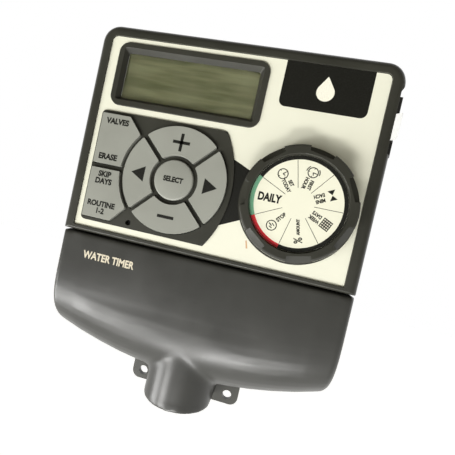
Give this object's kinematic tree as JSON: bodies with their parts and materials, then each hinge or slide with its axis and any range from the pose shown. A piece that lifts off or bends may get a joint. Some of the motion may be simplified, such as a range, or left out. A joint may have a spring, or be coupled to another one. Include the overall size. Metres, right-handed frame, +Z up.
{
  "type": "irrigation controller",
  "caption": "Wall-hung irrigation timer with a function dial, keypad, display, battery tray and a sliding terminal cover with a cable neck.",
  "frame": {"origin": "midway between the two lower screw holes, on the wall plane", "axes": "+X to the right as seen from the front, +Z up, the panel faces -Y and the wall is at Y 0"},
  "size_m": [0.151, 0.045, 0.1837],
  "materials": {
    "case": "satin grey plastic with a fine grain",
    "cover": "satin grey plastic with a fine grain",
    "label": "printed overlay, satin",
    "lens": "clear",
    "lcd": "display glass",
    "white": "satin",
    "strip": "soft",
    "board": "solder mask",
    "steel": "plated",
    "mat": "soft",
    "black": "moulded",
    "key": "satin grey plastic",
    "dial": "satin dark grey plastic",
    "disc": "printed, satin",
    "tab": "thin film",
    "cell": "polished",
    "brass": "plated",
    "blue": "coated",
    "can": "sleeve",
    "fuseglass": "clear",
    "cable": "flat cable"
  },
  "bodies": {
    "case": {"back_plate": "case", "upper_case": "case", "faceplate": "label", "display_window": "lens", "display_glass": "lcd", "display_holder": "white", "display_connectors": "strip", "main_board": "board", "board_screws": "steel", "keypad_mat": "mat", "key_domes": "mat", "rotary_switch": "black", "reset_switch": "black", "controller_chip": "black", "clock_crystal": "steel", "filter_capacitor": "can", "battery_bay": "black", "battery_clip": "steel", "battery_leaf": "steel", "board_header": "black", "ribbon_cable": "cable", "terminal_header": "black", "terminal_board": "board", "terminal_board_screws": "steel", "terminal_block": "black", "terminal_clamps": "brass", "terminal_screws": "steel", "output_triacs": "black", "surge_varistors": "blue", "fuse": "fuseglass", "fuse_clips": "steel", "case_screws": "steel"},
    "plus_key": {"plus_key": "key"},
    "minus_key": {"minus_key": "key"},
    "left_key": {"left_key": "key"},
    "right_key": {"right_key": "key"},
    "enter_key": {"enter_key": "key"},
    "manual_clear_key": {"manual_clear_key": "key"},
    "delay_program_key": {"delay_program_key": "key"},
    "reset_button": {"reset_button": "key"},
    "dial": {"dial_ring": "dial", "dial_disc": "disc", "dial_shaft": "steel"},
    "battery_tray": {"battery_tray": "black", "coin_cell": "cell"},
    "pull_tab": {"pull_tab": "tab"},
    "terminal_cover": {"terminal_cover": "cover"}
  },
  "joints": [
    {"name": "plus_key_press", "type": "slide", "parent": "case", "child": "plus_key", "axis": [0, 1, 0], "range_m": [0, 0.001], "stiffness_N_per_m": 600},
    {"name": "minus_key_press", "type": "slide", "parent": "case", "child": "minus_key", "axis": [0, 1, 0], "range_m": [0, 0.001], "stiffness_N_per_m": 600},
    {"name": "left_key_press", "type": "slide", "parent": "case", "child": "left_key", "axis": [0, 1, 0], "range_m": [0, 0.001], "stiffness_N_per_m": 600},
    {"name": "right_key_press", "type": "slide", "parent": "case", "child": "right_key", "axis": [0, 1, 0], "range_m": [0, 0.001], "stiffness_N_per_m": 600},
    {"name": "enter_key_press", "type": "slide", "parent": "case", "child": "enter_key", "axis": [0, 1, 0], "range_m": [0, 0.001], "stiffness_N_per_m": 600, "deforming": ["key_domes"]},
    {"name": "manual_clear_key_rock", "type": "hinge", "parent": "case", "child": "manual_clear_key", "pos_m": [-0.053, -0.0321, 0.1216], "axis": [1, 0, 0], "range_deg": [-2.5, 2.5], "stiffness_Nm_per_rad": 0.12},
    {"name": "delay_program_key_rock", "type": "hinge", "parent": "case", "child": "delay_program_key", "pos_m": [-0.053, -0.0321, 0.0948], "axis": [1, 0, 0], "range_deg": [-2.5, 2.5], "stiffness_Nm_per_rad": 0.12},
    {"name": "reset_press", "type": "slide", "parent": "case", "child": "reset_button", "axis": [0, 1, 0], "range_m": [0, 0.0003], "stiffness_N_per_m": 600},
    {"name": "dial_turn", "type": "hinge", "parent": "case", "child": "dial", "pos_m": [0.0387, -0.04, 0.1083], "axis": [0, -1, 0], "continuous": true},
    {"name": "battery_tray_slide", "type": "slide", "parent": "case", "child": "battery_tray", "axis": [1, 0, 0], "range_m": [0, 0.032]},
    {"name": "pull_tab_slide", "type": "slide", "parent": "battery_tray", "child": "pull_tab", "axis": [1, 0, 0], "range_m": [0, 0.03]},
    {"name": "cover_slide", "type": "slide", "parent": "case", "child": "terminal_cover", "axis": [0, 0, -1], "range_m": [0, 0.085]}
  ]
}
